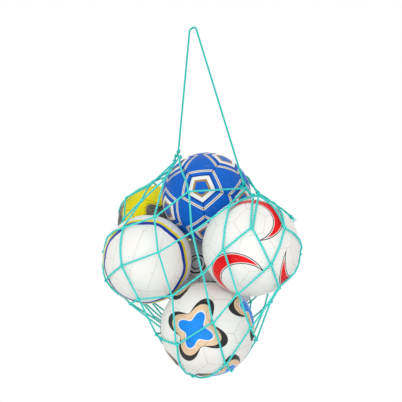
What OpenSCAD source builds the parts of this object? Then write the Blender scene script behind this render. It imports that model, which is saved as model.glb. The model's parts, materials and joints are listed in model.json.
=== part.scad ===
// Mesh ball bag: a knotted net bag full of balls, hung from the bight of its draw cord.
// Origin: under the top of the hanging bight. +X is right, +Y is away from the viewer, +Z is up.
// The net lies on the taut skin round the balls, so it follows their sizes.

/* [Balls] */
// Diameter of the upper ball, in the mouth of the bag
upper_ball_d = 220; // [205:1:230]
// Diameter of the right ball
right_ball_d = 220; // [205:1:230]
// Diameter of the left ball
left_ball_d = 210; // [200:1:225]
// Diameter of the lower ball
lower_ball_d = 220; // [205:1:230]
// Diameter of the middle ball, behind the others
middle_ball_d = 220; // [205:1:225]
// Diameter of the rear ball, at the upper left
rear_ball_d = 200; // [190:1:215]
// Thickness of a ball's cover
cover_t = 2.6; // [1.5:0.1:4]
// Thickness of a ball's bladder
bladder_t = 1; // [0.6:0.1:2]
// Diameter of a valve's stem
valve_d = 10; // [6:0.5:14]
// Diameter of a valve's flange, inside the bladder
valve_flange_d = 22; // [18:0.5:28]
// Thickness of a valve's flange
valve_flange_t = 2; // [1:0.1:4]
// Gap between two balls that rest on each other
ball_gap = 0.6; // [0.4:0.1:2]

/* [Net] */
// Diameter of the net's twine
twine_d = 4; // [3:0.1:4.4]
// Diameter of a knot in the net
knot_d = 9; // [8:0.1:11]
// Gap between the net and the balls
net_gap = 0.4; // [0.3:0.1:1]
// Radius of the ring that gathers the foot of the net, to the middle of its cord
gather_r = 20; // [19:0.5:26]
// Diameter of the gathering ring's cord
gather_d = 5; // [4:0.1:7]

/* [Draw cord] */
// Diameter of the draw cord
cord_d = 4; // [3:0.1:4.6]
// Drop from the hook to the middle of the upper ball
upper_ball_drop = 414; // [390:1:460]
// Radius of the two bends over the hook, to the middle of the cord
bight_r = 8; // [7:0.5:14]
// Straight stretch between the two bends
bight_flat = 4.5; // [1:0.5:12]
// Slope of that stretch, up to the right, in degrees
bight_slope = 27; // [0:1:40]
// Height of the left tie over the upper ball's surface
left_tie_lift = 18; // [12:0.5:26]
// Height of the right tie over the upper ball's surface
right_tie_lift = 12.5; // [11:0.5:20]
// Running gap between a tie eye and the cord in it
eye_gap = 0.4; // [0.3:0.1:1]
// Diameter of the knot at the end of the cord's tail
tail_knot_d = 13; // [11:0.5:16]

/* [Hidden] */
$fn = 64;

// Small fits
shell_gap = 0.3;
twine_r = twine_d / 2;
knot_r = knot_d / 2;
cord_r = cord_d / 2;
tie_knot_r = 1.3 * cord_d;
tie_knot_sink = 0.25 * cord_d;
cord_spare = 0.25 * cord_d;

// The six balls, in the order that the lists below use
UPPER = 0;
RIGHT = 1;
LEFT = 2;
LOWER = 3;
MIDDLE = 4;
REAR = 5;
ball_names = ["upper", "right", "left", "lower", "middle", "rear"];
ball_r = [upper_ball_d, right_ball_d, left_ball_d, lower_ball_d, middle_ball_d, rear_ball_d] / 2;
ball_colors = ["royalblue", "whitesmoke", "white", "whitesmoke", "gainsboro", "gold"];

function unit(v) = v / norm(v);
function touch(a, b) = ball_r[a] + ball_r[b] + ball_gap;

// A centre at distances da and db from two other centres, on the side that hint points to
function seat(a, da, b, db, hint) =
    let (e = unit(b - a))
    let (along = (da * da - db * db + (b - a) * (b - a)) / (2 * norm(b - a)))
    let (side = unit(hint - (hint * e) * e))
    a + along * e + sqrt(da * da - along * along) * side;

// The balls rest on each other: right and left hang on the upper one, the lower one sits below both
bag_lean = [0.0773, 0.0266, -1];
upper_c = upper_ball_drop * bag_lean;
right_c = upper_c + touch(UPPER, RIGHT) * unit([45, -73, -52]);
left_c = upper_c + touch(UPPER, LEFT) * unit([-66, -33, -69]);
lower_c = seat(right_c, touch(RIGHT, LOWER), left_c, touch(LEFT, LOWER), [0.08, 0.06, -1]);
middle_c = seat(lower_c, touch(LOWER, MIDDLE), upper_c, touch(UPPER, MIDDLE), [0.1, 1, 0]);
rear_c = seat(upper_c, touch(UPPER, REAR), middle_c, touch(MIDDLE, REAR), [-1, 0.7, 0.3]);
ball_c = [upper_c, right_c, left_c, lower_c, middle_c, rear_c];
bag_c = (upper_c + right_c + left_c + lower_c + middle_c + rear_c) / 6;

// The two ties, where the legs of the draw cord meet the mouth of the net
left_tie = upper_c + (ball_r[UPPER] + left_tie_lift) * unit([-73, 13.5, 104]);
right_tie = upper_c + (ball_r[UPPER] + right_tie_lift) * unit([87.5, -82.5, 22]);
tie_axis = unit(right_tie - left_tie);

// A point over a ball's surface in a direction from its centre, at a share of the ball's radius
function over(ball, direction, lift) = ball_c[ball] + (1 + lift) * ball_r[ball] * unit(direction);

// Moves a point out of every ball, to a least height over the surfaces
function clear_of(p, lift, i = 0) =
    i == len(ball_c) ? p :
    let (v = p - ball_c[i], least = ball_r[i] + lift)
    clear_of(norm(v) < least ? ball_c[i] + least * unit(v) : p, lift, i + 1);
function clear_of_all(p, lift) = clear_of(clear_of(p, lift), lift);

// Mouth knots on the draw cord, from the middle of the front round to the left
tie_step = knot_r + cord_r + 0.65 * cord_d;
mouth_knots = [
    right_tie + 0.5 * tie_step * tie_axis,
    over(RIGHT, [5, 2, 117], 0.073),
    over(RIGHT, [17, -4, 118], 0.091),
    over(RIGHT, [19, 52, 124], 0.24),
    over(UPPER, [86, 54, 62], 0.082),
    over(UPPER, [23, 119, 63], 0.245),
    over(UPPER, [-73, 89, 66], 0.2),
    over(UPPER, [-92, 49, 69], 0.139),
    over(UPPER, [-80, 25, 90], 0.116),
    left_tie + tie_step * tie_axis
];
tail_start = mouth_knots[3];
left_eye = left_tie;
right_eye = right_tie - 0.5 * tie_step * tie_axis;

// The taut skin: the smallest convex skin round the balls and the ties, seen from the bag's middle
skin_lift = knot_r + net_gap;
skin_count = 1200;
golden_angle = 137.508;
skin_n = [
    for (i = [0 : skin_count - 1])
        let (z = 1 - 2 * (i + 0.5) / skin_count, s = sqrt(1 - z * z), a = i * golden_angle)
        [s * cos(a), s * sin(a), z]
];
skin_points = [left_tie, right_tie, mouth_knots[2]];
skin_h = [
    for (n = skin_n)
        let (on_balls = [for (i = [0 : 5]) ball_c[i] * n + ball_r[i] + skin_lift])
        let (on_points = [for (p = skin_points) p * n + knot_r])
        max(concat(on_balls, on_points)) - bag_c * n
];
function heading(azimuth, elevation) =
    [cos(elevation) * sin(azimuth), -cos(elevation) * cos(azimuth), sin(elevation)];
function skin(d) = min([
    for (i = [0 : skin_count - 1])
        let (k = skin_n[i] * d)
        if (k > 0.1) skin_h[i] / k
]);

// Knots of the net, row by row from the mouth down, ten a row and half a mesh apart from row to row.
// Each is [azimuth, elevation, share of the way to the skin], azimuth from the front round to the right.
knot_rows = [
    [[-7, 50, 1], [20, 29, 1], [26, 15, 1], [41, 14, 1], [76, 26, 1],
        [132, 35, 1], [-172, 41, 1], [-142, 44, 0.965], [-104, 55, 0.95], [-56, 63, 1]],
    [[-2, 17, 1], [14, 6, 1], [33, -1, 1], [62, 2, 1], [95, 6, 1],
        [150, 16, 1], [-162, 23, 1], [-125, 32, 1], [-74, 44, 0.95], [-35, 30, 1]],
    [[-24, 5, 1], [4, -7, 1], [21, -15, 1], [41, -12, 1], [74, -6, 1],
        [122, -3, 1], [-178, 1, 1], [-138, 11, 1], [-87, 26, 0.93], [-56, 19, 1]],
    [[-15, -21, 1], [10, -31, 1], [32, -33, 1], [54, -25, 0.92], [96, -20, 1],
        [150, -19, 1], [-158, -9, 1], [-118, -3, 1], [-86, 2, 1], [-48, -4, 1]],
    [[-39, -24, 1], [-13, -45, 1], [21, -51, 1], [60, -50, 1], [85, -38, 1],
        [128, -36, 1], [-178, -29, 1], [-138, -24, 1], [-102, -18, 1], [-69, -14, 1]],
    [[-44, -54, 0.92], [-4, -71, 1], [49, -67, 1], [75, -56, 1], [108, -50, 1],
        [155, -48, 1], [-158, -44, 1], [-122, -42, 1], [-102, -38, 1], [-81, -36, 1]],
    [[-80, -68, 0.95], [-45, -80, 1], [41, -79, 1], [80, -70, 1], [100, -65, 1],
        [132, -62, 1], [175, -62, 1], [-148, -62, 1], [-122, -60, 1], [-100, -56, 1]]
];
MESHES = 10;
ROWS = len(knot_rows);
knots = concat([mouth_knots], [
    for (row = knot_rows) [
        for (k = row)
            let (d = heading(k[0], k[1]))
            clear_of_all(bag_c + k[2] * skin(d) * d, skin_lift)
    ]
]);

// A knot by its row and its column in half meshes, counted round the bag from the front
function column(row, half) = floor(((half + MESHES * 2 + 1) % (MESHES * 2)) / 2);
function knot(row, half) = knots[row][column(row, half)];

// The net's foot is gathered on a ring behind and under the lower ball
gather_n = unit([-0.25, 0.9, -0.45]);
gather_lift = 1.7 * gather_d + net_gap;
gather_c = lower_c + (ball_r[LOWER] + gather_lift) * gather_n;
gather_x = unit([1, 0, 0] - ([1, 0, 0] * gather_n) * gather_n);
gather_y = cross(gather_n, gather_x);
gather_turn = 142;
function on_gather(half) =
    let (a = gather_turn - 360 * half / (MESHES * 2))
    gather_c + gather_r * (cos(a) * gather_x + sin(a) * gather_y);

// The four twines of a knot leave it at its corners, so that they lie side by side
corner = 0.65 * twine_d;
function across_at(row, half) =
    row == ROWS ? unit(on_gather(half + 1) - on_gather(half - 1)) :
    unit(knot(row, half + 2) - knot(row, half - 2));
function down_at(row, half) =
    row == 0 ? unit(knot(1, half - 1) + knot(1, half + 1) - 2 * knot(0, half)) :
    row == ROWS ? unit(2 * gather_c - knot(row - 1, half - 1) - knot(row - 1, half + 1)) :
    unit(knot(row + 1, half - 1) + knot(row + 1, half + 1)
        - knot(row - 1, half - 1) - knot(row - 1, half + 1));
function knot_corner(row, half, side, below) =
    knot(row, half) + corner * (side * across_at(row, half) + below * down_at(row, half));

// One bar of twine: straight where it is free, and bent round the balls that it crosses
bar_steps = 4;
bend_spare = 1.4;
least_ball_r = min(ball_r);
function bar(p, q) =
    let (sag = bend_spare * pow(norm(q - p) / bar_steps, 2) / (8 * least_ball_r))
    [
        for (i = [0 : bar_steps])
            let (m = p + (q - p) * i / bar_steps)
            i == 0 || i == bar_steps ? m : clear_of_all(m, twine_r + net_gap + sag)
    ];
// The bars between one row of knots and the next, two to each upper knot
function course_bars(course) = [
    for (i = [0 : MESHES - 1], side = [-1, 1])
        let (half = 2 * i + ((course - 1) % 2 == 0 ? 0 : -1))
        bar(
            knot_corner(course - 1, half, side, 1),
            course > ROWS ? on_gather(half + side * 0.5) : knot_corner(course, half + side, -side, -1)
        )
];

// Tubes along routes of points, as one set of faces
CORD_SIDES = 8;
TWINE_SIDES = 6;
function tangent(p, i) = unit(p[min(i + 1, len(p) - 1)] - p[max(i - 1, 0)]);
function side_of(t) = unit(cross(t, abs(t[2]) < 0.9 ? [0, 0, 1] : [1, 0, 0]));
function carried(p, s, i = 0) =
    i == len(p) ? [] :
    let (t = tangent(p, i), n = unit(s - (s * t) * t))
    concat([n], carried(p, n, i + 1));
function rings(p, r, sides) =
    let (n = carried(p, side_of(tangent(p, 0))))
    [
        for (i = [0 : len(p) - 1], k = [0 : sides - 1])
            let (a = 360 * k / sides)
            p[i] + r * (cos(a) * n[i] + sin(a) * cross(tangent(p, i), n[i]))
    ];
function ring_faces(count, sides, start) = concat(
    [for (i = [0 : count - 2], k = [0 : sides - 1])
        let (a = start + i * sides, b = a + sides, m = (k + 1) % sides)
        each [[a + k, b + k, a + m], [a + m, b + k, b + m]]],
    [for (k = [1 : sides - 2]) [start, start + k, start + k + 1]],
    [for (k = [1 : sides - 2]) let (e = start + (count - 1) * sides) [e, e + k + 1, e + k]]
);
module tubes(routes, r, sides) {
    count = len(routes[0]);
    polyhedron(
        points = [for (p = routes) each rings(p, r, sides)],
        faces = [for (i = [0 : len(routes) - 1]) each ring_faces(count, sides, i * count * sides)]
    );
}

// A smooth route through chosen points
function spline(p, steps) = concat(
    [for (i = [0 : len(p) - 2], k = [0 : steps - 1])
        let (t = k / steps, a = p[max(i - 1, 0)], b = p[i], c = p[i + 1], d = p[min(i + 2, len(p) - 1)])
        let (linear = c - a, square = 2 * a - 5 * b + 4 * c - d, cube = 3 * b - 3 * c + d - a)
        0.5 * (2 * b + linear * t + square * t * t + cube * t * t * t)],
    [p[len(p) - 1]]
);

// The mouth cord: straight through the eyes at both ends, and through the mouth knots round the back
SPLINE_STEPS = 3;
left_stub = tie_step + knot_r + 0.4 * cord_d;
left_bend_at = 1.5 * cord_d;
right_stub = 1.75 * cord_d;
mouth_back = [for (i = [8 : -1 : 1]) mouth_knots[i]];
mouth_line = concat([left_tie - left_bend_at * tie_axis], mouth_back, [mouth_knots[0]]);
mouth_route = concat(
    [left_tie + left_stub * tie_axis],
    [for (p = spline(mouth_line, SPLINE_STEPS)) clear_of_all(p, cord_r + net_gap + cord_spare)],
    [right_eye - right_stub * tie_axis]
);

// The hanging part of the draw cord: two legs, and the bight that slopes over the hook between two bends
eye_r = 2 * cord_r + eye_gap;
function upward(p) = [0, 0, cord_r - bight_r] - p;
function tie_knot_at(eye) =
    let (up = upward(eye))
    eye + (eye_r + tie_knot_r - tie_knot_sink) * unit(up - (up * tie_axis) * tie_axis);
left_knot = tie_knot_at(left_eye);
right_knot = tie_knot_at(right_eye);
hang_x = unit([right_knot[0] - left_knot[0], right_knot[1] - left_knot[1], 0]);
right_bend = [0, cord_r - bight_r];
left_bend = right_bend - bight_flat * [cos(bight_slope), sin(bight_slope)];
// Where a leg from a tie knot touches a bend, as an angle, on the left (-1) or the right (1)
function touch_angle(bend, tie_knot, side) =
    let (d = [tie_knot * hang_x, tie_knot[2]] - bend)
    atan2(d[1], d[0]) + side * acos(bight_r / norm(d));
function bend_points(bend, from, to, steps) = [
    for (i = [0 : steps])
        let (a = from + (to - from) * i / steps)
        (bend[0] + bight_r * cos(a)) * hang_x + [0, 0, bend[1] + bight_r * sin(a)]
];
LEFT_BEND_STEPS = 4;
RIGHT_BEND_STEPS = 6;
handle_route = concat(
    [left_knot],
    bend_points(left_bend, 360 + touch_angle(left_bend, left_knot, -1), 90 + bight_slope, LEFT_BEND_STEPS),
    bend_points(right_bend, 90 + bight_slope, touch_angle(right_bend, right_knot, 1), RIGHT_BEND_STEPS),
    [right_knot]
);

// The draw cord's tail: from a mouth knot over the right ball to its end knot
tail_end = over(RIGHT, [82, 2, 62], (tail_knot_d / 2 + net_gap) / ball_r[RIGHT]);
tail_line = [tail_start, over(RIGHT, [42, 40, 116], 0.145), over(RIGHT, [60, 20, 96], 0.045), tail_end];
tail_route = [for (p = spline(tail_line, SPLINE_STEPS)) clear_of_all(p, cord_r + net_gap + cord_spare)];

module draw_cord_handle() {
    color("turquoise") tubes([handle_route], cord_r, CORD_SIDES);
}

// Turns +Z to a direction
module aim(d) {
    rotate([0, acos(d[2]), atan2(d[1], d[0])]) children();
}

// An eye of cord round the tie axis, with the knot that ties it to its leg
module tie_eye(eye, tie_knot) {
    color("mediumturquoise") {
        translate(eye) aim(tie_axis) rotate_extrude() translate([eye_r, 0]) circle(cord_r);
        translate(tie_knot) sphere(tie_knot_r);
    }
}
module left_tie_eye() {
    tie_eye(left_eye, left_knot);
}
module right_tie_eye() {
    tie_eye(right_eye, right_knot);
}

module mouth_cord() {
    color("turquoise") tubes([mouth_route], cord_r, CORD_SIDES);
}
module cord_tail() {
    color("turquoise") tubes([tail_route], cord_r, CORD_SIDES);
}
module tail_knot() {
    color("lightseagreen") translate(tail_end) sphere(d = tail_knot_d);
}
module gather_ring() {
    color("lightseagreen") translate(gather_c) aim(gather_n)
        rotate_extrude() translate([gather_r, 0]) circle(d = gather_d);
}

module net_course(k) {
    color("mediumturquoise") tubes(course_bars(k), twine_r, TWINE_SIDES);
}
module net_knots(k) {
    color("lightseagreen")
        for (p = knots[k])
            translate(p) sphere(knot_r);
}

// A ball is a cover on a bladder, with the valve at its top
cover_in = cover_t + shell_gap;
bladder_in = cover_in + bladder_t;
module valve_hole(r) {
    cylinder(h = r + 1, r = valve_d / 2 + shell_gap);
}
module ball_cover(i) {
    color(ball_colors[i]) translate(ball_c[i]) difference() {
        sphere(ball_r[i]);
        sphere(ball_r[i] - cover_t);
        valve_hole(ball_r[i]);
    }
}
module ball_bladder(i) {
    color("dimgray") translate(ball_c[i]) difference() {
        sphere(ball_r[i] - cover_in);
        sphere(ball_r[i] - bladder_in);
        valve_hole(ball_r[i]);
    }
}
module ball_valve(i) {
    flange_top = sqrt(pow(ball_r[i] - bladder_in, 2) - pow(valve_flange_d / 2, 2)) - shell_gap;
    color("black") translate(ball_c[i]) {
        translate([0, 0, flange_top - valve_flange_t]) cylinder(h = valve_flange_t, d = valve_flange_d);
        translate([0, 0, flange_top - valve_flange_t])
            cylinder(h = ball_r[i] - shell_gap - flange_top + valve_flange_t, d = valve_d);
    }
}

draw_cord_handle();
left_tie_eye();
right_tie_eye();
mouth_cord();
cord_tail();
tail_knot();
gather_ring();
for (k = [1 : ROWS + 1])
    net_course(k);
net_knots(0);  // mouth_knots
for (k = [1 : ROWS])
    net_knots(k);
for (i = [0 : len(ball_names) - 1]) {
    ball_cover(i);
    ball_bladder(i);
    ball_valve(i);
}
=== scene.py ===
"""Dresses the mesh ball bag: twisted twine, tied knots, and balls with sewn and printed panels."""
import json
import math
from functools import reduce

import bmesh
import bpy
import numpy as np
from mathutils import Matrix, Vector


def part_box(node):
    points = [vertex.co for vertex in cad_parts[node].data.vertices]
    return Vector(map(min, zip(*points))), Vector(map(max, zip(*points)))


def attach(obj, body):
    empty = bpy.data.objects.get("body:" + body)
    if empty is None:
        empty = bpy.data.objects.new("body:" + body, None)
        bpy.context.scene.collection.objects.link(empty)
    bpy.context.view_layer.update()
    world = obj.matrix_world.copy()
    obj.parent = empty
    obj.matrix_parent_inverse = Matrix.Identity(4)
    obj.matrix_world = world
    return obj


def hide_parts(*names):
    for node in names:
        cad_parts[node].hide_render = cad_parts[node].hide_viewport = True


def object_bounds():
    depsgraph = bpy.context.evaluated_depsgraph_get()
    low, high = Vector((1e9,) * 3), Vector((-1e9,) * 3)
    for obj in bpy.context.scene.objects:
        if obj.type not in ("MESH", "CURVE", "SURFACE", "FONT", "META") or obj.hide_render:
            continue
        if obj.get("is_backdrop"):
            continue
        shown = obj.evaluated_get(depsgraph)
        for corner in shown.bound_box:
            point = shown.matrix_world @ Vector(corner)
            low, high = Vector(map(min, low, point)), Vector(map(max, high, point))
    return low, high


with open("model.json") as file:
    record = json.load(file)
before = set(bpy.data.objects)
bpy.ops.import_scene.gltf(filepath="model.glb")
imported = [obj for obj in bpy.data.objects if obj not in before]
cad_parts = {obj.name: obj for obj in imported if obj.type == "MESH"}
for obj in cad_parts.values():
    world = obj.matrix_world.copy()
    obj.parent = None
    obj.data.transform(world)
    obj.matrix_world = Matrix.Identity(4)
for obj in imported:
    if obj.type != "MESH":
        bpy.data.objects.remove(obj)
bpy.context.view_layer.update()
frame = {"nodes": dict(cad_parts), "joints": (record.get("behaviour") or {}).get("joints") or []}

MM = 0.001
TINY = 1e-9
JOINTS = {joint["name"]: joint for joint in frame["joints"]}
BALLS = ("upper", "right", "left", "lower", "middle", "rear")
COURSES = 8

# Camera: level, at the height of the upper ball
IMAGE_PX = 402
FOCAL_PX = 805
CAMERA_AT = (0.018, -1.970, -0.423)
CLIP_END = 50

lens = bpy.data.cameras.new("camera")
lens.angle = 2 * math.atan(IMAGE_PX / 2 / FOCAL_PX)
lens.clip_end = CLIP_END
camera = bpy.data.objects.new("camera", lens)
camera.location = CAMERA_AT
camera.rotation_euler = (math.radians(90), 0, 0)
bpy.context.scene.collection.objects.link(camera)
bpy.context.scene.camera = camera


# Vectors and routes
def unit(v):
    v = np.asarray(v, float)
    return v / np.linalg.norm(v, axis=-1, keepdims=True)


def square_to(v, axis):
    """The unit part of v that is square to a unit axis."""
    return unit(v - np.dot(v, axis) * axis)


def run_along(route):
    """How far each point of a route lies from its start, along it."""
    gaps = np.linalg.norm(np.diff(route, axis=0), axis=1)
    return np.concatenate([[0], np.cumsum(gaps)])


def resample(route, step):
    """The same line with points about one step apart."""
    route = np.asarray(route, float)
    run = run_along(route)
    count = max(3, int(round(run[-1] / step)) + 1)
    at = np.linspace(0, run[-1], count)
    return np.stack([np.interp(at, run, route[:, k]) for k in range(3)], axis=1)


def relax(route, rounds):
    """Rounds a line's corners, with its ends held."""
    route = route.copy()
    for _ in range(rounds):
        route[1:-1] = (route[:-2] + 2 * route[1:-1] + route[2:]) / 4
    return route


def spline(points, steps=8):
    """A smooth line through a few points."""
    p = np.asarray(points, float)
    p = np.vstack([2 * p[0] - p[1], p, 2 * p[-1] - p[-2]])
    t = np.linspace(0, 1, steps, endpoint=False)[:, None]
    out = []
    for a, b, c, d in zip(p[:-3], p[1:-2], p[2:-1], p[3:]):
        slope = c - a
        square = 2 * a - 5 * b + 4 * c - d
        cube = 3 * b - 3 * c + d - a
        out.append(0.5 * (2 * b + slope * t + square * t**2 + cube * t**3))
    return np.vstack(out + [p[-2:-1]])


# What the frame says
BAR_SIDES = 6
SAME_PLANE = 0.99999
SAME_POINT = 1e-6
POINT_DIGITS = 6
CLEAR_ROUNDS = 2


def mesh_points(node):
    mesh = frame["nodes"][node].data
    points = np.empty(len(mesh.vertices) * 3, np.float32)
    mesh.vertices.foreach_get("co", points)
    return points.reshape(-1, 3).astype(float)


def loose_parts(node):
    """The corner points of each separate solid of a CAD node."""
    mesh = frame["nodes"][node].data
    corners, index = np.unique(np.round(mesh_points(node), POINT_DIGITS), axis=0, return_inverse=True)
    ends = np.empty(len(mesh.edges) * 2, np.int32)
    mesh.edges.foreach_get("vertices", ends)
    pairs = index.reshape(-1)[ends].reshape(-1, 2)
    label = np.arange(len(corners))
    while True:
        low = np.minimum(label[pairs[:, 0]], label[pairs[:, 1]])
        spread = label.copy()
        np.minimum.at(spread, pairs[:, 0], low)
        np.minimum.at(spread, pairs[:, 1], low)
        if (spread == label).all():
            return [corners[label == k] for k in np.unique(label)]
        label = spread


def bar_route(corners):
    """The middles of a bar's rings, from end to end."""
    centre = corners.mean(0)
    axis = np.linalg.svd(corners - centre)[2][0]
    order = np.argsort((corners - centre) @ axis)
    return corners[order].reshape(-1, BAR_SIDES, 3).mean(1)


def flat_patch(face):
    """The faces that lie in one plane with a face and join up with it."""
    patch, queue = {face}, [face]
    while queue:
        for edge in queue.pop().edges:
            for other in edge.link_faces:
                if other not in patch and other.normal.dot(face.normal) > SAME_PLANE:
                    patch.add(other)
                    queue.append(other)
    return patch


def cord_route(node):
    """The middles of a cord's rings, from one end cap to the other."""
    bm = bmesh.new()
    bm.from_mesh(frame["nodes"][node].data)
    bmesh.ops.remove_doubles(bm, verts=bm.verts, dist=SAME_POINT)
    bm.normal_update()
    cap = max((flat_patch(face) for face in bm.faces), key=len)
    ring = {vert for face in cap for vert in face.verts}
    seen, route = set(), []
    while ring:
        route.append(np.mean([vert.co for vert in ring], axis=0))
        seen |= ring
        ring = {edge.other_vert(vert) for vert in ring for edge in vert.link_edges} - seen
    bm.free()
    return np.array(route)


ball_centre = {name: np.array(JOINTS[f"{name}_ball_turn"]["pos_m"]) for name in BALLS}
ball_radius = {}
for name in BALLS:
    low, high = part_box(f"{name}_ball_cover")
    ball_radius[name] = (high.x - low.x) / 2


def clear_of_balls(points, lift):
    """Moves points out to a least height over every ball."""
    points = points.copy()
    for name in BALLS * CLEAR_ROUNDS:
        v = points - ball_centre[name]
        far = np.linalg.norm(v, axis=1, keepdims=True)
        least = ball_radius[name] + lift
        points = np.where(far < least, ball_centre[name] + v / far * least, points)
    return points


# Meshes
def new_piece(name, verts, faces, body, material, attributes=(), nodes=()):
    """A smooth mesh piece that rides a body and stands for CAD nodes.

    Attributes are rows of name, domain and values.
    """
    mesh = bpy.data.meshes.new(name)
    mesh.from_pydata(np.asarray(verts).tolist(), [], [list(map(int, f)) for f in faces])
    for label, domain, values in attributes:
        values = np.asarray(values, np.float32)
        flat = values.ndim == 1
        layer = mesh.attributes.new(label, "FLOAT" if flat else "FLOAT_VECTOR", domain)
        layer.data.foreach_set("value" if flat else "vector", values.ravel())
    mesh.shade_smooth()
    mesh.materials.append(material)
    mesh.update()
    piece = bpy.data.objects.new(name, mesh)
    bpy.context.scene.collection.objects.link(piece)
    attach(piece, body)
    if nodes:
        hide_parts(*nodes)
    return piece


# Twine: three strands laid up in a twist
STRANDS = 3
SIDES = 12
LAY = 17 * MM
STRAND_DIP = 0.26
STRAND_UNIT = 10 * MM
TWINE_R = 2.45 * MM
NET_GAP = 0.25 * MM


def turned_frames(route):
    """Two directions square to a route at each point, which don't spin about it."""
    along = unit(np.gradient(route, axis=0))
    helper = np.eye(3)[np.argmin(np.abs(along[0]))]
    side = square_to(helper, along[0])
    sides = []
    for t in along:
        side = square_to(side, t)
        sides.append(side)
    sides = np.array(sides)
    return sides, np.cross(along, sides)


def twist(route, radius):
    """Points of a twisted tube, how deep each lies in the lay, which masks the painted shade between
    strands, and where it lies along its strand.
    """
    a, b = turned_frames(route)
    run = run_along(route)
    strand = 2 * math.pi * np.arange(SIDES) / SIDES
    crest = (1 + np.cos(STRANDS * strand)) / 2
    reach = radius * (1 - STRAND_DIP * (1 - crest))
    angle = strand[None] + 2 * math.pi * run[:, None] / LAY
    ring = np.cos(angle)[..., None] * a[:, None] + np.sin(angle)[..., None] * b[:, None]
    points = route[:, None] + reach[None, :, None] * ring
    depth = np.broadcast_to(crest, angle.shape)
    parts = (np.cos(strand), np.sin(strand), run[:, None] / STRAND_UNIT)
    place = np.stack([np.broadcast_to(part, angle.shape) for part in parts], axis=-1)
    return points.reshape(-1, 3), depth.ravel(), place.reshape(-1, 3)


def twine_piece(name, routes, radius, body, slot, nodes=()):
    """One piece made of twisted tubes along routes."""
    verts, depths, places, faces = [], [], [], []
    start = 0
    for route in routes:
        points, depth, place = twist(route, radius)
        rings = len(route)
        k = np.arange(SIDES)
        m = (k + 1) % SIDES
        base = start + SIDES * np.arange(rings - 1)[:, None]
        quads = np.stack([base + k, base + m, base + SIDES + m, base + SIDES + k], axis=-1)
        faces += quads.reshape(-1, 4).tolist()
        faces.append((start + k[::-1]).tolist())
        faces.append((start + SIDES * (rings - 1) + k).tolist())
        verts.append(points)
        depths.append(depth)
        # Each line has its own stretch of the fibre pattern
        places.append(place + start)
        start += len(points)
    attributes = [
        ("lay_shade_mask", "POINT", np.concatenate(depths)),
        ("strand_place", "POINT", np.vstack(places)),
    ]
    return new_piece(name, np.vstack(verts), faces, body, MATERIALS[slot], attributes, nodes)


# Node materials
class Shader:
    """A material with a principled surface and short ways to add nodes."""

    def __init__(self, name):
        self.material = bpy.data.materials.new(name)
        self.material.use_nodes = True
        self.tree = self.material.node_tree
        self.surface = self.tree.nodes["Principled BSDF"]

    def link(self, value, socket):
        if isinstance(value, bpy.types.NodeSocket):
            self.tree.links.new(value, socket)
        elif value is not None:
            socket.default_value = value

    def node(self, kind, **settings):
        made = self.tree.nodes.new(kind)
        for key, value in settings.items():
            setattr(made, key, value)
        return made

    def math(self, operation, a, b=None):
        made = self.node("ShaderNodeMath", operation=operation)
        self.link(a, made.inputs[0])
        self.link(b, made.inputs[1])
        return made.outputs[0]

    def attribute(self, name):
        return self.node("ShaderNodeAttribute", attribute_name=name)

    def ramp(self, value, low, high, to_low=0.0, to_high=1.0):
        made = self.node("ShaderNodeMapRange", interpolation_type="SMOOTHSTEP")
        for socket, v in zip(made.inputs, (value, low, high, to_low, to_high)):
            self.link(v, socket)
        return made.outputs[0]

    def mix(self, share, a, b, blend="MIX"):
        made = self.node("ShaderNodeMix", data_type="RGBA", blend_type=blend)
        self.link(share, made.inputs["Factor"])
        self.link(a, made.inputs[6])
        self.link(b, made.inputs[7])
        return made.outputs[2]

    def noise(self, place, scale, detail=2.0, roughness=0.5):
        made = self.node("ShaderNodeTexNoise")
        self.link(place, made.inputs["Vector"])
        self.link(scale, made.inputs["Scale"])
        self.link(detail, made.inputs["Detail"])
        self.link(roughness, made.inputs["Roughness"])
        return made.outputs["Fac"]

    def cells(self, place, scale):
        made = self.node("ShaderNodeTexVoronoi")
        self.link(place, made.inputs["Vector"])
        self.link(scale, made.inputs["Scale"])
        return made.outputs["Distance"]

    def stretch(self, place, scale):
        made = self.node("ShaderNodeVectorMath", operation="MULTIPLY")
        self.link(place, made.inputs[0])
        made.inputs[1].default_value = scale
        return made.outputs[0]

    def dot(self, place, axis):
        made = self.node("ShaderNodeVectorMath", operation="DOT_PRODUCT")
        self.link(place, made.inputs[0])
        made.inputs[1].default_value = axis
        return made.outputs["Value"]

    def normalized(self, place):
        made = self.node("ShaderNodeVectorMath", operation="NORMALIZE")
        self.link(place, made.inputs[0])
        return made.outputs["Vector"]

    def arc_mm(self, place, axis, radius):
        """How far a place on a ball lies from an axis, along the surface, in mm."""
        return self.math("MULTIPLY", self.math("ARCCOSINE", self.dot(place, unit(axis))), radius / MM)

    def around(self, place, axis):
        """The angle of a place about an axis."""
        axis = unit(axis)
        a = square_to(np.eye(3)[np.argmin(np.abs(axis))], axis)
        return self.math("ARCTAN2", self.dot(place, np.cross(axis, a)), self.dot(place, a))

    def extreme(self, operation, values):
        """The least or the greatest of several values."""
        return reduce(lambda a, b: self.math(operation, a, b), values)

    def bump(self, height, distance, strength=1.0):
        made = self.node("ShaderNodeBump")
        made.inputs["Distance"].default_value = distance
        made.inputs["Strength"].default_value = strength
        self.link(height, made.inputs["Height"])
        self.link(made.outputs["Normal"], self.surface.inputs["Normal"])

    def set(self, **values):
        for key, value in values.items():
            self.link(value, self.surface.inputs[key.replace("_", " ")])


def rgb(red, green, blue):
    """A colour from its 8-bit display values, for the shader's linear sockets."""
    values = np.array([red, green, blue]) / 255
    linear = np.where(values <= 0.04045, values / 12.92, ((values + 0.055) / 1.055) ** 2.4)
    return (*linear.tolist(), 1.0)


FIBRE_DEPTH = 0.15 * MM
WORN_GREY = 0.8
WORN_SHARE = 0.25


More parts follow.
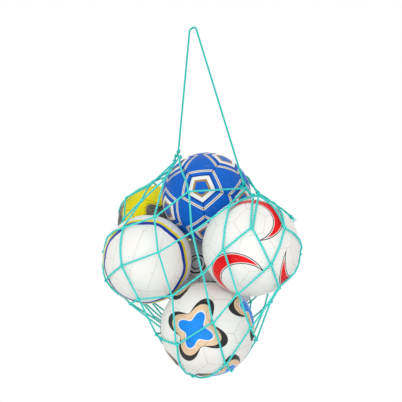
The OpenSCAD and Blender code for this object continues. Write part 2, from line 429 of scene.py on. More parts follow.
def twine_material(name, crest, valley_shade):
    """Laid polyethylene twine: its own colour on the strands, painted shade between them, with fine drawn
    fibres.
    """
    s = Shader(name)
    place = s.attribute("strand_place").outputs["Vector"]
    fibres = s.noise(s.stretch(place, (9.0, 9.0, 0.35)), scale=1.6, detail=3.0, roughness=0.6)
    patches = s.noise(s.stretch(place, (0.4, 0.4, 0.12)), scale=1.0)
    depth = s.ramp(s.attribute("lay_shade_mask").outputs["Fac"], 0.05, 0.5)
    worn = tuple((1 - WORN_SHARE) * c + WORN_SHARE * WORN_GREY for c in crest[:3]) + (1.0,)
    # Painted shade: the grooves between the strands take the darker shade colour, by the lay mask
    colour = s.mix(depth, valley_shade, crest)
    # Darker fibre streaks, in the same colour as the painted shade
    colour = s.mix(s.ramp(fibres, 0.4, 0.75, to_high=0.2), colour, valley_shade)
    colour = s.mix(s.ramp(patches, 0.55, 0.8, to_high=0.3), colour, worn)
    roughness = s.ramp(fibres, 0.2, 0.8, to_low=0.45, to_high=0.65)
    s.set(Base_Color=colour, Roughness=roughness, Specular_IOR_Level=0.14)
    s.bump(fibres, FIBRE_DEPTH)
    return s.material


BLOOM = 0.03
RUBBER_GRAIN_DEPTH = 0.05 * MM


def rubber_material(name, colour):
    """Matt rubber with a faint bloom."""
    s = Shader(name)
    place = s.node("ShaderNodeTexCoord").outputs["Object"]
    bloom = s.noise(place, scale=60.0, detail=4.0)
    pale = tuple(c + BLOOM for c in colour[:3]) + (1.0,)
    mixed = s.mix(s.ramp(bloom, 0.4, 0.7), colour, pale)
    s.set(Base_Color=mixed, Roughness=s.ramp(bloom, 0.3, 0.7, to_low=0.5, to_high=0.7))
    s.bump(s.noise(place, scale=900.0), RUBBER_GRAIN_DEPTH)
    return s.material


# How soft a print's edge is, in mm
PRINT_EDGE = 0.35
GRAIN = 1.1 * MM
GRAIN_DEPTH = 0.12 * MM
SPECKLE = 5 * MM
SCUFF = rgb(150, 144, 132)
COVER_SHADE = 0.94
INK_SHADE = 0.82


def band(s, value, low, high):
    """One where a value lies between two others, and none elsewhere, with a soft edge."""
    above = s.ramp(value, low - PRINT_EDGE, low + PRINT_EDGE)
    below = s.ramp(value, high - PRINT_EDGE, high + PRINT_EDGE, 1.0, 0.0)
    return s.math("MULTIPLY", above, below)


def dimmed(colour, share):
    return tuple(c * share for c in colour[:3]) + (1.0,)


def cover_material(name, design, radius):
    """Printed synthetic leather, with grain, scuffs and darker seams."""
    s = Shader(name)
    place = s.normalized(s.attribute("ball_place").outputs["Vector"])
    seam_mm = s.attribute("seam_mm").outputs["Fac"]
    tone = s.attribute("panel_tone").outputs["Fac"]
    base = design["base"]
    shaded = dimmed(base, COVER_SHADE)
    cloud = s.noise(place, scale=2.2, detail=3.0)
    colour = s.mix(s.ramp(cloud, 0.3, 0.8, to_high=0.7), base, shaded)
    colour = s.mix(s.math("MULTIPLY", tone, 0.5), colour, shaded)
    fields = design["prints"](s, place, radius)
    for field, low, high, ink in design["inks"]:
        worn = s.mix(s.ramp(cloud, 0.3, 0.75), ink, dimmed(ink, INK_SHADE))
        colour = s.mix(band(s, fields[field], low, high), colour, worn)
    if "speckle" in design:
        field, low, high, ink = design["speckle"]
        dots = s.ramp(s.cells(place, radius / SPECKLE), 0.3, 0.36, 1.0, 0.0)
        colour = s.mix(s.math("MULTIPLY", band(s, fields[field], low, high), dots), colour, ink)
    streaks = s.noise(s.stretch(place, (1.0, 1.0, 2.5)), scale=5.0, detail=6.0, roughness=0.65)
    colour = s.mix(s.ramp(streaks, 0.6, 0.72, to_high=0.22), colour, SCUFF)
    colour = s.mix(s.ramp(seam_mm, 0.3, 1.4, 0.85, 0.0), colour, design["seam"], "MULTIPLY")
    roughness = s.ramp(cloud, 0.3, 0.7, to_low=0.36, to_high=0.48)
    s.set(Base_Color=colour, Roughness=roughness, Specular_IOR_Level=0.15)
    s.set(Coat_Weight=0.03, Coat_Roughness=0.25)
    s.bump(s.cells(place, radius / GRAIN), GRAIN_DEPTH, strength=0.6)
    return s.material


# The second colour of each pair is painted shade for the grooves between the strands; the first is the
# twine's own colour
TURQUOISE = rgb(92, 255, 246)
TURQUOISE_SHADE = rgb(3, 106, 98)
SEA_GREEN = rgb(42, 234, 218)
SEA_GREEN_SHADE = rgb(2, 92, 84)
MATERIALS = {
    "draw_cord": twine_material("draw_cord", SEA_GREEN, SEA_GREEN_SHADE),
    "net_twine": twine_material("net_twine", TURQUOISE, TURQUOISE_SHADE),
    "bladder": rubber_material("bladder", rgb(38, 38, 40)),
    "valve": rubber_material("valve", rgb(30, 30, 32)),
}

# Draw cord: hanging loop, mouth and tail
CORD_STEP = 2 * MM
CORD_R = 2.6 * MM
HANGING_ROUNDS = 20
MOUTH_ROUNDS = 30
TAIL_ROUNDS = 40


def rounded(route, rounds):
    """A cord's line with its corners rounded and its points one step apart."""
    return resample(relax(resample(route, CORD_STEP / 4), rounds), CORD_STEP)


hanging = rounded(cord_route("draw_cord_handle"), HANGING_ROUNDS)
loop_piece = twine_piece("hanging_cord", [hanging], CORD_R, "carry_cord", "draw_cord",
                         ["draw_cord_handle"])

mouth = clear_of_balls(rounded(cord_route("mouth_cord"), MOUTH_ROUNDS), CORD_R + NET_GAP)
twine_piece("mouth_line", [mouth], CORD_R, "net_bag", "draw_cord", ["mouth_cord"])

# The tail comes down on the right ball, where its end knot lies flat
TAIL_GAP = 0.3 * MM
TAIL_LIFT = 0.4
LEAD_POINTS = 5
TAIL_KNOT_SIZE = 1.8 * MM
TAIL_KNOT_R = 2.2 * MM
TAIL_KNOT_GAP = 0.5 * MM
TAIL_KNOT_POINTS = 60
FRAY = 14 * MM
FRAY_R = 1.25 * MM
FRAY_SPREAD = 0.3
FRAY_POINTS = 15
tail_ball, tail_ball_r = ball_centre["right"], ball_radius["right"]
tail_knot_at = mesh_points("tail_knot").mean(0)

tail = cord_route("cord_tail")
if np.linalg.norm(tail[0] - tail_knot_at) < np.linalg.norm(tail[-1] - tail_knot_at):
    tail = tail[::-1]
tail = rounded(tail, TAIL_ROUNDS)
over = tail - tail_ball
far = np.linalg.norm(over, axis=1, keepdims=True)
lying = tail_ball_r + CORD_R + TAIL_GAP
lift = np.linspace(1, TAIL_LIFT, len(tail))[:, None]
tail = tail_ball + over / far * (lying + (far - lying) * lift)
tail_piece = twine_piece("tail_cord", [tail], CORD_R, "net_bag", "draw_cord", ["cord_tail"])


def overhand(centre, lead, outward, size):
    """An overhand knot as a closed line, with its lead along one direction and its face to another."""
    across = np.cross(outward, lead)
    t = np.linspace(0, 2 * math.pi, TAIL_KNOT_POINTS)
    x = np.sin(t) + 2 * np.sin(2 * t)
    y = np.cos(t) - 2 * np.cos(2 * t)
    z = -np.sin(3 * t)
    return centre + size * (x[:, None] * across + y[:, None] * lead + z[:, None] * outward)


outward = unit(tail_knot_at - tail_ball)
lead = square_to(tail[-1] - tail[-1 - LEAD_POINTS], outward)
knot_at = tail_ball + outward * (tail_ball_r + TAIL_KNOT_SIZE + TAIL_KNOT_R + TAIL_KNOT_GAP)
tail_knot_piece = twine_piece("tail_end_knot", [overhand(knot_at, lead, outward, TAIL_KNOT_SIZE)],
                              TAIL_KNOT_R, "net_bag", "draw_cord", ["tail_knot"])
frayed = []
for turn in 2 * math.pi * np.arange(STRANDS) / STRANDS:
    spread = FRAY_SPREAD * (math.cos(turn) * outward + math.sin(turn) * np.cross(outward, lead))
    strand = knot_at + np.linspace(0, 1, FRAY_POINTS)[:, None] * unit(lead + spread) * FRAY
    frayed.append(clear_of_balls(strand, FRAY_R + TAIL_GAP))
tail_end_piece = twine_piece("tail_end_strands", frayed, FRAY_R, "net_bag", "draw_cord")

# Ties: an eye of cord round the mouth line, lashed to its leg
EYE_R = 4.2 * MM
EYE_POINTS = 32
LASH_R = 3.5 * MM
LASH_TURNS = 2
LASH_STEP = 3 * MM
LASH_TWINE_R = 1.5 * MM
LASH_END_UP = 3 * MM
LASH_END_OUT = 0.8 * MM
LASH_END_POINTS = 8
LEG_POINTS = 8
tie_at = np.array(JOINTS["bag_tilt"]["pos_m"])
tie_axis = unit(JOINTS["bag_tilt"]["axis"])


def coil(centre, axis, start, radius, turns, step, points=20):
    """A helix about an axis, from a direction square to it, with its middle at a centre."""
    other = np.cross(axis, start)
    t = np.linspace(0, turns, int(turns * points) + 1)[:, None]
    a = 2 * math.pi * t
    return centre + (t - turns / 2) * step * axis + radius * (np.cos(a) * start + np.sin(a) * other)


def tie_piece(name, leg_end, leg_next, node):
    """An eye about the tilt axis, and turns round the leg's end with a short free end."""
    eye = tie_at + np.dot(leg_end - tie_at, tie_axis) * tie_axis
    leg = unit(leg_next - leg_end)
    side = square_to(tie_axis, leg)
    ring = coil(eye, tie_axis, square_to(leg_end - eye, tie_axis), EYE_R, 1.0, 0.0, EYE_POINTS)
    lashing = coil(leg_end, leg, side, LASH_R, LASH_TURNS, LASH_STEP)
    share = np.linspace(0, 1, LASH_END_POINTS)[1:, None]
    end = lashing[-1] + share * (leg * LASH_END_UP + side * LASH_END_OUT)
    routes = [ring, np.vstack([lashing, end])]
    return twine_piece(name, routes, LASH_TWINE_R, "carry_cord", "draw_cord", [node])


legs = [(hanging[0], hanging[LEG_POINTS]), (hanging[-1], hanging[-1 - LEG_POINTS])]
left_leg, right_leg = sorted(legs, key=lambda leg: leg[0][0])
tie_piece("left_eye_lashing", *left_leg, "left_tie_eye")
tie_piece("right_eye_lashing", *right_leg, "right_tie_eye")

# Net: bars of twine between the knots
BAR_STEP = 2 * MM
BAR_ROUNDS = 6


def draped(route):
    """A bar that runs straight where it is free and lies on the balls that it crosses."""
    line = relax(resample(route, BAR_STEP), BAR_ROUNDS)
    return clear_of_balls(line, TWINE_R + NET_GAP)


bars = {}
for course in range(1, COURSES + 1):
    node = f"net_course_{course}"
    bars[course] = [draped(bar_route(corners)) for corners in loose_parts(node)]
    twine_piece(f"twine_course_{course}", bars[course], TWINE_R, "net_bag", "net_twine", [node])

# Knots: sheet bends in the net, hitches on the mouth line and on the foot ring
KNOT_TWINE_R = 2 * MM
KNOT_STEP = 1.1 * MM
REACH = 6 * MM
HITCH_TWINE_R = 1.6 * MM
HITCH_LIFT = 1.4 * MM
HITCH_TURNS = 1
HITCH_STEP = 2.4 * MM
HITCH_POINTS = 12
HITCH_SPLINE = 4
MOUTH_SPAN = 2
# The inner points of a sheet bend's two lines, in mm: across, down and out from the knot's middle
BIGHT = [(-2.1, -0.2, -0.8), (0, 2.6, -0.4), (2.1, -0.2, -0.8)]
WRAP = [(-1.3, 0.9, 1.9), (0.9, -1.0, 2.5), (3.4, -1.7, 0.7), (1.9, -1.9, -2.1), (-1.9, -1.9, -2.1),
        (-3.4, -1.7, 0.7), (-0.9, -0.8, 3.4), (1.3, 1.0, 2.2)]


def ends_near(course, centre):
    """The ends of a course's bars that meet a knot."""
    found = []
    for bar in bars.get(course, []):
        found += [end for end in (bar[0], bar[-1]) if np.linalg.norm(end - centre) < REACH]
    return found


def nearest_ball(point):
    return min(BALLS, key=lambda name: np.linalg.norm(point - ball_centre[name]) - ball_radius[name])


def sheet_bend(centre, uppers, lowers):
    """The two lines of a net knot, which run on into its four bars."""
    out = unit(centre - ball_centre[nearest_ball(centre)])
    down = square_to(np.mean(lowers, 0) - np.mean(uppers, 0), out)
    across = np.cross(down, out)
    basis = np.stack([across, down, out]) * MM
    lines = []
    for pair, inner in ((uppers, BIGHT), (lowers, WRAP)):
        first, last = sorted(pair, key=lambda end: np.dot(end - centre, across))
        lines.append(np.vstack([first, centre + np.array(inner) @ basis, last]))
    return lines


def hitch(centre, along, lowers):
    """A turn of twine round the mouth line, from one bar's end to the other's."""
    first, last = sorted(lowers, key=lambda end: np.dot(end - centre, along))
    down = square_to(np.mean(lowers, 0) - centre, along)
    turn = coil(centre, along, down, CORD_R + HITCH_LIFT, HITCH_TURNS, HITCH_STEP, HITCH_POINTS)
    return np.vstack([first, turn, last])


def knot_centres(node):
    return [part.mean(0) for part in loose_parts(node)]


hitches = []
for centre in knot_centres("mouth_knots"):
    at = int(np.argmin(np.linalg.norm(mouth - centre, axis=1)))
    along = unit(mouth[min(at + MOUTH_SPAN, len(mouth) - 1)] - mouth[max(at - MOUTH_SPAN, 0)])
    line = hitch(mouth[at], along, ends_near(1, centre))
    hitches.append(resample(spline(line, HITCH_SPLINE), KNOT_STEP))
twine_piece("mouth_hitches", hitches, HITCH_TWINE_R, "net_bag", "net_twine", ["mouth_knots"])
for row in range(1, COURSES):
    node = f"net_knots_{row}"
    lines = []
    for centre in knot_centres(node):
        lines += sheet_bend(centre, ends_near(row, centre), ends_near(row + 1, centre))
    lines = [resample(spline(line), KNOT_STEP) for line in lines]
    twine_piece(f"tied_knots_{row}", lines, KNOT_TWINE_R, "net_bag", "net_twine", [node])

# Foot ring: a little over one turn of cord, so that its ends overlap
FOOT_R = 2.5 * MM
RING_TURNS = 1.02
RING_POINTS = 80
FOOT_TURNS = 1.5
FOOT_STEP = 3.2 * MM
foot_points = mesh_points("gather_ring")
foot_at = (foot_points.min(0) + foot_points.max(0)) / 2
foot_ends = []
for bar in bars[COURSES]:
    foot_ends.append(min((bar[0], bar[-1]), key=lambda end: np.linalg.norm(end - foot_at)))
foot_ends = np.array(foot_ends)
foot_axis = np.linalg.svd(foot_ends - foot_at)[2][2]
ring_r = float(np.mean(np.linalg.norm(foot_ends - foot_at, axis=1)))
ring_start = square_to(np.array([1.0, 0, 0]), foot_axis)
ring = coil(foot_at, foot_axis, ring_start, ring_r, RING_TURNS, 0.0, RING_POINTS)
twine_piece("foot_ring_cord", [ring], FOOT_R, "net_bag", "draw_cord", ["gather_ring"])
hitches = []
for end in foot_ends:
    spoke = square_to(end - foot_at, foot_axis)
    line = coil(end, np.cross(foot_axis, spoke), spoke, FOOT_R + KNOT_TWINE_R, FOOT_TURNS, FOOT_STEP)
    hitches.append(resample(line, KNOT_STEP))
twine_piece("foot_hitches", hitches, KNOT_TWINE_R, "net_bag", "net_twine")

# Balls: panels sewn along grooves. Distances from a seam are in mm.
SEAM_RINGS = (0.0, 0.5, 1.1, 1.9, 3.2, 6.0, 10.5)
SEAM_RINGS_END = 0.95
INNER_RINGS = (0.5, 0.75)
INNER_RINGS_STEP = 0.08
HUB_SHARE = 1.4
EDGE_STEPS = 14
GROOVE_W = 1.15
SHOULDER_W = 5
SHOULDER_SHARE = 0.5
PENTAGONS = 12
NEXT_TO = 5
WELD_DIGITS = 7
FOOTBALL_SEED = 7
VOLLEYBALL_SEED = 3


def groove(distance, depth):
    """How far the cover dips at a distance from a seam: a narrow groove with round shoulders."""
    shoulder = SHOULDER_SHARE * np.exp(-distance / SHOULDER_W)
    return depth * (np.exp(-((distance / GROOVE_W) ** 2)) + shoulder)


def icosahedron():
    """Its twelve corners, as directions: the middles of a football's five-sided panels."""
    g = (1 + 5**0.5) / 2
    points = []
    for a in (-1, 1):
        for b in (-g, g):
            points += [(0, a, b), (a, b, 0), (b, 0, a)]
    return unit(np.array(points))


def football_panels():
    """The outlines of twelve five-sided and twenty six-sided panels, as [(middle, outline)]."""
    points = icosahedron()
    near = np.sort(points @ points.T, axis=1)[0, -2] - TINY
    every = range(PENTAGONS)
    edges = [(i, j) for i in every for j in every if i != j and points[i] @ points[j] > near]
    corner = {(i, j): unit(2 * points[i] + points[j]) for i, j in edges}
    rings = [(points[i], [corner[e] for e in edges if e[0] == i]) for i in every]
    for i in every:
        for j in range(i):
            for k in range(j):
                if all((a, b) in corner for a, b in ((i, j), (j, k), (i, k))):
                    turns = [(i, j), (j, i), (j, k), (k, j), (k, i), (i, k)]
                    rings.append((unit(points[i] + points[j] + points[k]), [corner[e] for e in turns]))
    panels = []
    for middle, corners in rings:
        a = square_to(corners[0], middle)
        b = np.cross(middle, a)
        corners = sorted(corners, key=lambda c: math.atan2(c @ b, c @ a))
        outline = []
        for c, d in zip(corners, corners[1:] + corners[:1]):
            outline += [unit(c + (d - c) * s / EDGE_STEPS) for s in range(EDGE_STEPS)]
        panels.append((middle, np.array(outline)))
    return panels


def panel_grid(middle, outline, radius_mm):
    """Rings of points from a panel's outline in to its middle, and how far each lies from the seam."""
    reach = np.arccos(np.clip(outline @ middle, -1, 1)) * radius_mm
    shares = [np.minimum(d / reach, SEAM_RINGS_END) for d in SEAM_RINGS]
    shares += [np.maximum(share, SEAM_RINGS[-1] / reach + INNER_RINGS_STEP) for share in INNER_RINGS]
    rings = [unit(outline + (middle - outline) * share[:, None]) for share in shares]
    normal = np.cross(outline, np.roll(outline, -1, axis=0))
    squareness = np.abs(unit(normal) @ middle) / np.maximum(np.sin(reach / radius_mm), TINY)
    away = [share * reach * np.clip(squareness, 0, 1) for share in shares]
    return rings, away


# Strips of a volleyball, in degrees: three to a face of a cube, with points close together by the seams
STRIPS = (-30, 0, 30)
STRIP_HALF = 15
FACE_HALF = 45
STRIP_MIDDLE = [-5, 0, 5]
STRIP_EDGE = np.array([0.0, 0.25, 0.5, 0.82, 1.25, 2.0, 3.3, 5.5])


def strip_panels():
    """Eighteen strips: a grid of directions, its angles from the seam, and which way it faces."""
    steps = np.concatenate([STRIP_EDGE - STRIP_HALF, STRIP_MIDDLE, STRIP_HALF - STRIP_EDGE[::-1]])
    along = np.unique([steps + strip for strip in STRIPS])
    grids = []
    for axis in range(3):
        for sign in (-1, 1):
            for strip in STRIPS:
                across = steps + strip
                u, v = np.meshgrid(np.tan(np.radians(across)), np.tan(np.radians(along)), indexing="ij")
                parts = [None] * 3
                parts[axis] = sign * np.ones_like(u)
                parts[(axis + 1) % 3] = u
                parts[(axis + 2) % 3] = v
                edge_u = np.minimum(across - (strip - STRIP_HALF), strip + STRIP_HALF - across)
                edge_v = np.minimum(along + FACE_HALF, FACE_HALF - along)
                away = np.minimum(edge_u[:, None], edge_v[None])
                grids.append((unit(np.stack(parts, axis=-1)), np.radians(away), sign))
    return grids


def turned(axis, degrees):
    """A turn about an axis, as a matrix for row vectors."""
    axis = unit(axis)
    c, s = math.cos(math.radians(degrees)), math.sin(math.radians(degrees))
    skew = np.array([[0, axis[2], -axis[1]], [-axis[2], 0, axis[0]], [axis[1], -axis[0], 0]])
    return c * np.eye(3) + s * skew + (1 - c) * np.outer(axis, axis)


def faced(source, target, spin):
    """The turn that brings one direction to another, and then spins about it."""
    source, target = unit(source), unit(target)
    axis = np.cross(source, target)
    angle = math.degrees(math.atan2(np.linalg.norm(axis), source @ target))
    first = turned(axis, angle) if np.linalg.norm(axis) > TINY else np.eye(3)
    return first @ turned(target, spin)


def football_mesh(radius, turn):
    """Directions, seam distances, faces and tones of a football's panels."""
    radius_mm = radius / MM
    dirs, away, faces, tones = [], [], [], []
    start = 0
    tone_source = np.random.default_rng(FOOTBALL_SEED)
    for middle, outline in football_panels():
        tone = tone_source.random()
        rings, distances = panel_grid(middle, outline, radius_mm)
        n = len(outline)
        k = np.arange(n)
        m = (k + 1) % n
        for ring in range(len(rings) - 1):
            base = start + ring * n
            faces += np.stack([base + k, base + m, base + n + m, base + n + k], axis=1).tolist()
        last = start + (len(rings) - 1) * n
        hub = start + len(rings) * n
        faces += [[last + int(i), last + int(j), hub] for i, j in zip(k, m)]
        tones += [tone] * (n * len(rings))
        dirs += [*rings, middle[None]]
        away += [*distances, [np.max(distances[-1]) * HUB_SHARE]]
        start = hub + 1
    return np.vstack(dirs) @ turn, np.concatenate(away), faces, np.array(tones)


def volleyball_mesh(radius, turn):
    """The same for a ball of strips."""
    radius_mm = radius / MM
    dirs, away, faces, tones = [], [], [], []
    start = 0
    tone_source = np.random.default_rng(VOLLEYBALL_SEED)
    for grid, angle, sign in strip_panels():
        rows, columns = angle.shape
        index = start + np.arange(rows * columns).reshape(rows, columns)
        corners = [index[:-1, :-1], index[1:, :-1], index[1:, 1:], index[:-1, 1:]]
        quads = np.stack(corners, axis=-1).reshape(-1, 4)
        faces += (quads if sign > 0 else quads[:, ::-1]).tolist()
        dirs.append(grid.reshape(-1, 3))
        away.append(angle.ravel() * radius_mm)
        tones += [tone_source.random()] * len(quads)
        start += rows * columns
    return np.vstack(dirs) @ turn, np.concatenate(away), faces, np.array(tones)


def weld(verts, faces, *values):
    """Joins points that lie together, with their values."""
    _, first, index = np.unique(np.round(verts, WELD_DIGITS), axis=0, return_index=True, return_inverse=True)
    index = index.reshape(-1)
    faces = [[int(index[i]) for i in face] for face in faces]
    return verts[first], faces, *[v[first] for v in values]


# Prints: each function gives named fields in mm, and a design's inks cover bands of them
def upper_prints(s, place, radius):
    """Frames that follow the five-sided panels: how far inside such a panel a place lies, in mm."""
    centres = icosahedron() @ DESIGNS["upper"]["turn"]
    insides = []
    for centre in centres:
        next_to = centres[np.argsort(-(centres @ centre))[1:1 + NEXT_TO]]
        a = square_to(next_to[0], centre)
        b = np.cross(centre, a)
        next_to = next_to[np.argsort(np.arctan2(next_to @ b, next_to @ a))]
        corners = unit(2 * centre + next_to)
        walls = unit(np.cross(corners, np.roll(corners, -1, axis=0)))
        insides.append(s.extreme("MINIMUM", [s.dot(place, wall) for wall in walls]))
    deepest = s.math("ARCSINE", s.extreme("MAXIMUM", insides))
    return {"frame_mm": s.math("MULTIPLY", deepest, radius / MM)}


BLADES = 3
BLADE_SPIN = 40
BLADE_LEAN = 20
BLADE_LEAN_AXIS = (0.25, 0, 1)
BLADE_AT = (0.35, -0.62, 0.7)
BLADE_MM = 62
HOLLOW_AT = (0.18, -0.70, 0.78)
HOLLOW_MM = 58


def right_prints(s, place, radius):
    """Three tapering blades round the front and three round the back, like a pinwheel."""
    blades = []
    for side in (1, -1):
        for k in range(BLADES):
            spin = turned((0, -1, 0), 360 / BLADES * k + BLADE_SPIN) @ turned(BLADE_LEAN_AXIS, BLADE_LEAN)
            outer = np.multiply(BLADE_AT, (1, side, 1)) @ spin
            inner = np.multiply(HOLLOW_AT, (1, side, 1)) @ spin
            edge = s.math("SUBTRACT", BLADE_MM, s.arc_mm(place, outer, radius))
            hollow = s.math("SUBTRACT", s.arc_mm(place, inner, radius), HOLLOW_MM)
            blades.append(s.math("MINIMUM", edge, hollow))
    return {"blade_mm": s.extreme("MAXIMUM", blades)}


TRIM_AXIS = np.array([-0.10, -1.0, -0.10])
TRIM_WAVES = 9
TRIM_WAVE_MM = 2.2


def left_prints(s, place, radius):
    """A waved trim ring round the front and another round the back."""
    nearer = s.math("MINIMUM", s.arc_mm(place, TRIM_AXIS, radius), s.arc_mm(place, -TRIM_AXIS, radius))
    wave = s.math("SINE", s.math("MULTIPLY", s.around(place, TRIM_AXIS), TRIM_WAVES))
    return {"trim_mm": s.math("ADD", nearer, s.math("MULTIPLY", wave, TRIM_WAVE_MM))}


MARK_TURN = faced((1, 0, 0), (-0.28, -1, 0.12), 20)
LEAVES = 4
LEAF_TURN = 1.4
LEAF_ROOT_MM = 30
MARK_LEAF_MM = 12
RIM_LEAF_MM = 20


def lower_prints(s, place, radius):
    """Six four-leaved marks, square to each other, and their rims."""
    marks, rims = [], []
    for axis in np.vstack([np.eye(3), -np.eye(3)]) @ MARK_TURN:
        far = s.arc_mm(place, axis, radius)
        angle = s.math("ADD", s.math("MULTIPLY", s.around(place, axis), LEAVES), LEAF_TURN)
        grown = s.math("MINIMUM", s.math("DIVIDE", far, LEAF_ROOT_MM), 1)
        leaves = s.math("MULTIPLY", s.math("COSINE", angle), grown)
        marks.append(s.math("SUBTRACT", far, s.math("MULTIPLY", leaves, MARK_LEAF_MM)))
        rims.append(s.math("SUBTRACT", far, s.math("MULTIPLY", leaves, RIM_LEAF_MM)))
    return {"mark_mm": s.extreme("MINIMUM", marks), "rim_mm": s.extreme("MINIMUM", rims)}


def middle_prints(s, place, radius):
    """Rings on the five-sided panels."""
    centres = icosahedron() @ DESIGNS["middle"]["turn"]
    return {"ring_mm": s.extreme("MINIMUM", [s.arc_mm(place, centre, radius) for centre in centres])}


# The axis of each patch, and its reach in mm
PATCHES = [((-1, -0.1, 0.0), 52), ((0.12, -0.9, 0.14), 40), ((0.9, 0.5, -0.2), 48), ((0.1, 0.7, 0.8), 40)]
PATCH_LOBES = 5
PATCH_LOBE_MM = 6


def rear_prints(s, place, radius):
    """Lobed patches: at the side, low on the front, and opposite to both."""
    patches = []
    for axis, reach in PATCHES:
        lobes = s.math("SINE", s.math("MULTIPLY", s.around(place, axis), PATCH_LOBES))
        rim = s.math("ADD", s.arc_mm(place, axis, radius), s.math("MULTIPLY", lobes, PATCH_LOBE_MM))
        patches.append(s.math("SUBTRACT", rim, reach))
    return {"patch_mm": s.extreme("MINIMUM", patches)}


WHITE = rgb(244, 242, 238)
BLUE = rgb(4, 98, 200)
GOLD = rgb(168, 132, 80)
RED = rgb(240, 12, 22)
CHARCOAL = rgb(48, 48, 50)
TAN = rgb(240, 208, 172)
SKY = rgb(22, 144, 248)
YELLOW = rgb(248, 230, 4)
NAVY = rgb(16, 62, 176)
# Painted shade: the middle ball is white, drawn grey for the shade it sits in between the others
SHADED_WHITE = rgb(196, 198, 201)
BLACK = rgb(26, 26, 28)
ASH = rgb(112, 108, 100)

# The middles of one five-sided and one six-sided panel
PENTAGON = icosahedron()[0]
HEXAGON = football_panels()[PENTAGONS][0]
# Past the end of any print field
PAST = 99
# Groove depths are in mm. Each ink has its field, the band of it that it covers, and its colour.
DESIGNS = {
    "upper": {
        "mesh": football_mesh, "depth": 1.4, "turn": faced(PENTAGON, (-0.12, -0.95, 0.2), 10),
        "prints": upper_prints, "base": BLUE, "seam": rgb(70, 78, 112),
        "inks": [("frame_mm", 3, 12, WHITE), ("frame_mm", 12, 17, GOLD), ("frame_mm", -14, -8, WHITE),
                 ("frame_mm", -12, -10, GOLD)],
    },
    "right": {
        "mesh": football_mesh, "depth": 0.5, "turn": faced(HEXAGON, (0.05, -1, -0.05), 15),
        "prints": right_prints, "base": WHITE, "seam": rgb(232, 227, 221),
        "inks": [("blade_mm", -3.6, -1.6, CHARCOAL), ("blade_mm", 0, PAST, RED)],
    },
    "left": {
        "mesh": volleyball_mesh, "depth": 0.45, "turn": turned((0, 0, 1), -6) @ turned((0, 1, 0), 106),
        "prints": left_prints, "base": WHITE, "seam": rgb(232, 229, 224),
        "inks": [("trim_mm", 110, 123, NAVY), ("trim_mm", 122, 132, YELLOW)],
    },
    "lower": {
        "mesh": football_mesh, "depth": 0.55, "turn": faced(PENTAGON, (-0.2, -1, 0.1), 20),
        "prints": lower_prints, "base": WHITE, "seam": rgb(228, 224, 218),
        "inks": [("rim_mm", -PAST, 60, CHARCOAL), ("mark_mm", -PAST, 51, TAN), ("mark_mm", -PAST, 35, WHITE),
                 ("mark_mm", -PAST, 31, SKY)],
    },
    # The middle ball's grey base is painted shade on a white cover; its black rings are print
    "middle": {
        "mesh": football_mesh, "depth": 0.6, "turn": faced(PENTAGON, (-0.38, -0.85, 0.36), 25),
        "prints": middle_prints, "base": SHADED_WHITE, "seam": rgb(150, 150, 152),
        "inks": [("ring_mm", 12, 15, BLACK), ("ring_mm", 21, 25, BLACK)],
    },
    "rear": {
        "mesh": football_mesh, "depth": 0.7, "turn": faced(HEXAGON, (-0.2, -1, 0.3), 0),
        "prints": rear_prints, "base": YELLOW, "seam": rgb(160, 150, 120),
        "inks": [("patch_mm", -PAST, 0, ASH), ("patch_mm", 2.5, 4, BLACK)],
        "speckle": ("patch_mm", -PAST, -1.5, BLACK),
    },
}


def ball_piece(name, design):
    """A ball's cover: its panels, sunk along the seams, with the print in its material."""
    radius = ball_radius[name]
    dirs, away, faces, tones = design["mesh"](radius, design["turn"])
    height = radius - groove(away, design["depth"]) * MM
    dirs, faces, away, height = weld(dirs, faces, away, height)
    slot = f"{name}_ball_cover"
    attributes = [("ball_place", "POINT", dirs), ("seam_mm", "POINT", away), ("panel_tone", "FACE", tones)]
    MATERIALS[slot] = cover_material(slot, design, radius)
    verts = ball_centre[name] + dirs * height[:, None]
    new_piece(f"{name}_ball_panels", verts, faces, f"{name}_ball", MATERIALS[slot], attributes, [slot])


# Valves: a stem with a needle hole, and its flange inside. Radii and heights over the cover are in mm.
VALVE_PROFILE = [
    (0, -7.6), (11, -7.6), (11, -5.6), (5, -5.6), (5, -0.15), (4.7, 0.15),
    (3.7, 0.3), (1.7, 0.1), (1.0, -0.5), (0.9, -4.5), (0, -4.6),
]
VALVE_SIDES = 32


def valve_piece(name):
    """A valve at the top of a ball, turned from its profile."""
    top = ball_centre[name] + np.array([0, 0, ball_radius[name]])
    turn = 2 * math.pi * np.arange(VALVE_SIDES) / VALVE_SIDES
    verts, faces = [], []
    for r, z in VALVE_PROFILE:
        verts += [top + MM * np.array([r * math.cos(a), r * math.sin(a), z]) for a in turn]
    for ring in range(len(VALVE_PROFILE) - 1):
        for k in range(VALVE_SIDES):
            m = (k + 1) % VALVE_SIDES
            base = ring * VALVE_SIDES
            faces.append([base + k, base + m, base + VALVE_SIDES + m, base + VALVE_SIDES + k])
    piece = new_piece(f"{name}_ball_valve_stem", verts, faces, f"{name}_ball", MATERIALS["valve"],
                      nodes=[f"{name}_ball_valve"])
    # Points on the valve's axis become one
    bm = bmesh.new()
    bm.from_mesh(piece.data)
    bmesh.ops.remove_doubles(bm, verts=bm.verts, dist=SAME_POINT)
    bm.to_mesh(piece.data)
    bm.free()


for name in BALLS:
    ball_piece(name, DESIGNS[name])
    valve_piece(name)
    bladder = frame["nodes"][f"{name}_ball_bladder"]
    bladder.data.materials.clear()
    bladder.data.materials.append(MATERIALS["bladder"])

# Stage: a white room, a soft key by the camera and a floor well below the bag
FLOOR_Z = -1.25
FLOOR_R = 1.15
FLOOR_SEGMENTS = 96
FLOOR_COLOUR = (0.62, 0.62, 0.62, 1)
FLOOR_GLOW = 0.7


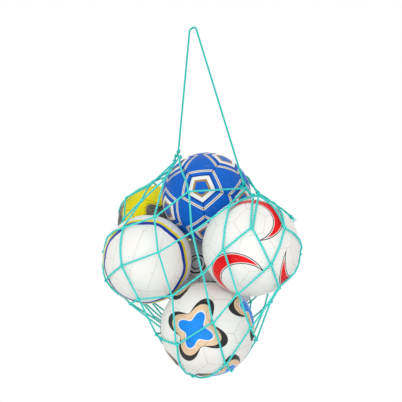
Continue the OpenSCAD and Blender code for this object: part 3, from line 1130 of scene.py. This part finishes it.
def floor_material():
    """A pale floor that looks white to the camera and in reflections."""
    s = Shader("floor")
    path = s.node("ShaderNodeLightPath")
    rays = [path.outputs[f"Is {kind} Ray"] for kind in ("Camera", "Glossy", "Transmission")]
    seen = s.extreme("MAXIMUM", rays)
    s.set(Base_Color=FLOOR_COLOUR, Roughness=0.9, Emission_Color=(1, 1, 1, 1))
    s.set(Emission_Strength=s.math("MULTIPLY", seen, FLOOR_GLOW))
    return s.material


bm = bmesh.new()
bmesh.ops.create_circle(bm, cap_ends=True, segments=FLOOR_SEGMENTS, radius=FLOOR_R)
floor_mesh = bpy.data.meshes.new("floor")
bm.to_mesh(floor_mesh)
bm.free()
floor_mesh.materials.append(floor_material())
floor = bpy.data.objects.new("floor", floor_mesh)
floor.location = (0, 0, FLOOR_Z)
bpy.context.scene.collection.objects.link(floor)
floor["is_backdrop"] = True

# The room is white where it is seen, and lights the bag a little less
ROOM_LIGHT = 0.8
world = bpy.data.worlds.new("room")
world.use_nodes = True
bpy.context.scene.world = world
tree = world.node_tree
background = tree.nodes["Background"]
path = tree.nodes.new("ShaderNodeLightPath")
shown = path.outputs["Is Camera Ray"]
for ray in ("Is Glossy Ray", "Is Transmission Ray"):
    either = tree.nodes.new("ShaderNodeMath")
    either.operation = "MAXIMUM"
    tree.links.new(shown, either.inputs[0])
    tree.links.new(path.outputs[ray], either.inputs[1])
    shown = either.outputs[0]
level = tree.nodes.new("ShaderNodeMapRange")
level.inputs["To Min"].default_value = ROOM_LIGHT
level.inputs["To Max"].default_value = 1.0
tree.links.new(shown, level.inputs["Value"])
tree.links.new(level.outputs["Result"], background.inputs["Strength"])
background.inputs["Color"].default_value = (1, 1, 1, 1)

BAG_AT = Vector((0, 0, -0.55))
# Name, place and size in m, and power in W
LAMPS = [
    ("key", (-0.2, -2.3, -0.5), 2.2, 19.5),
    ("back", (0.2, 2.3, -0.4), 2.2, 11),
    ("top", (0.3, -0.2, 0.9), 1.2, 1),
]


def area_light(name, at, size, watts):
    """A round soft lamp aimed at the bag, which the camera doesn't see."""
    lamp = bpy.data.lights.new(name, "AREA")
    lamp.shape = "DISK"
    lamp.size = size
    lamp.energy = watts
    made = bpy.data.objects.new(name, lamp)
    made.location = at
    made.rotation_mode = "QUATERNION"
    made.rotation_quaternion = (BAG_AT - Vector(at)).to_track_quat("-Z", "Y")
    made.visible_camera = False
    bpy.context.scene.collection.objects.link(made)


for lamp_row in LAMPS:
    area_light(*lamp_row)

bpy.context.scene.view_settings.view_transform = "Standard"

low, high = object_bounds()
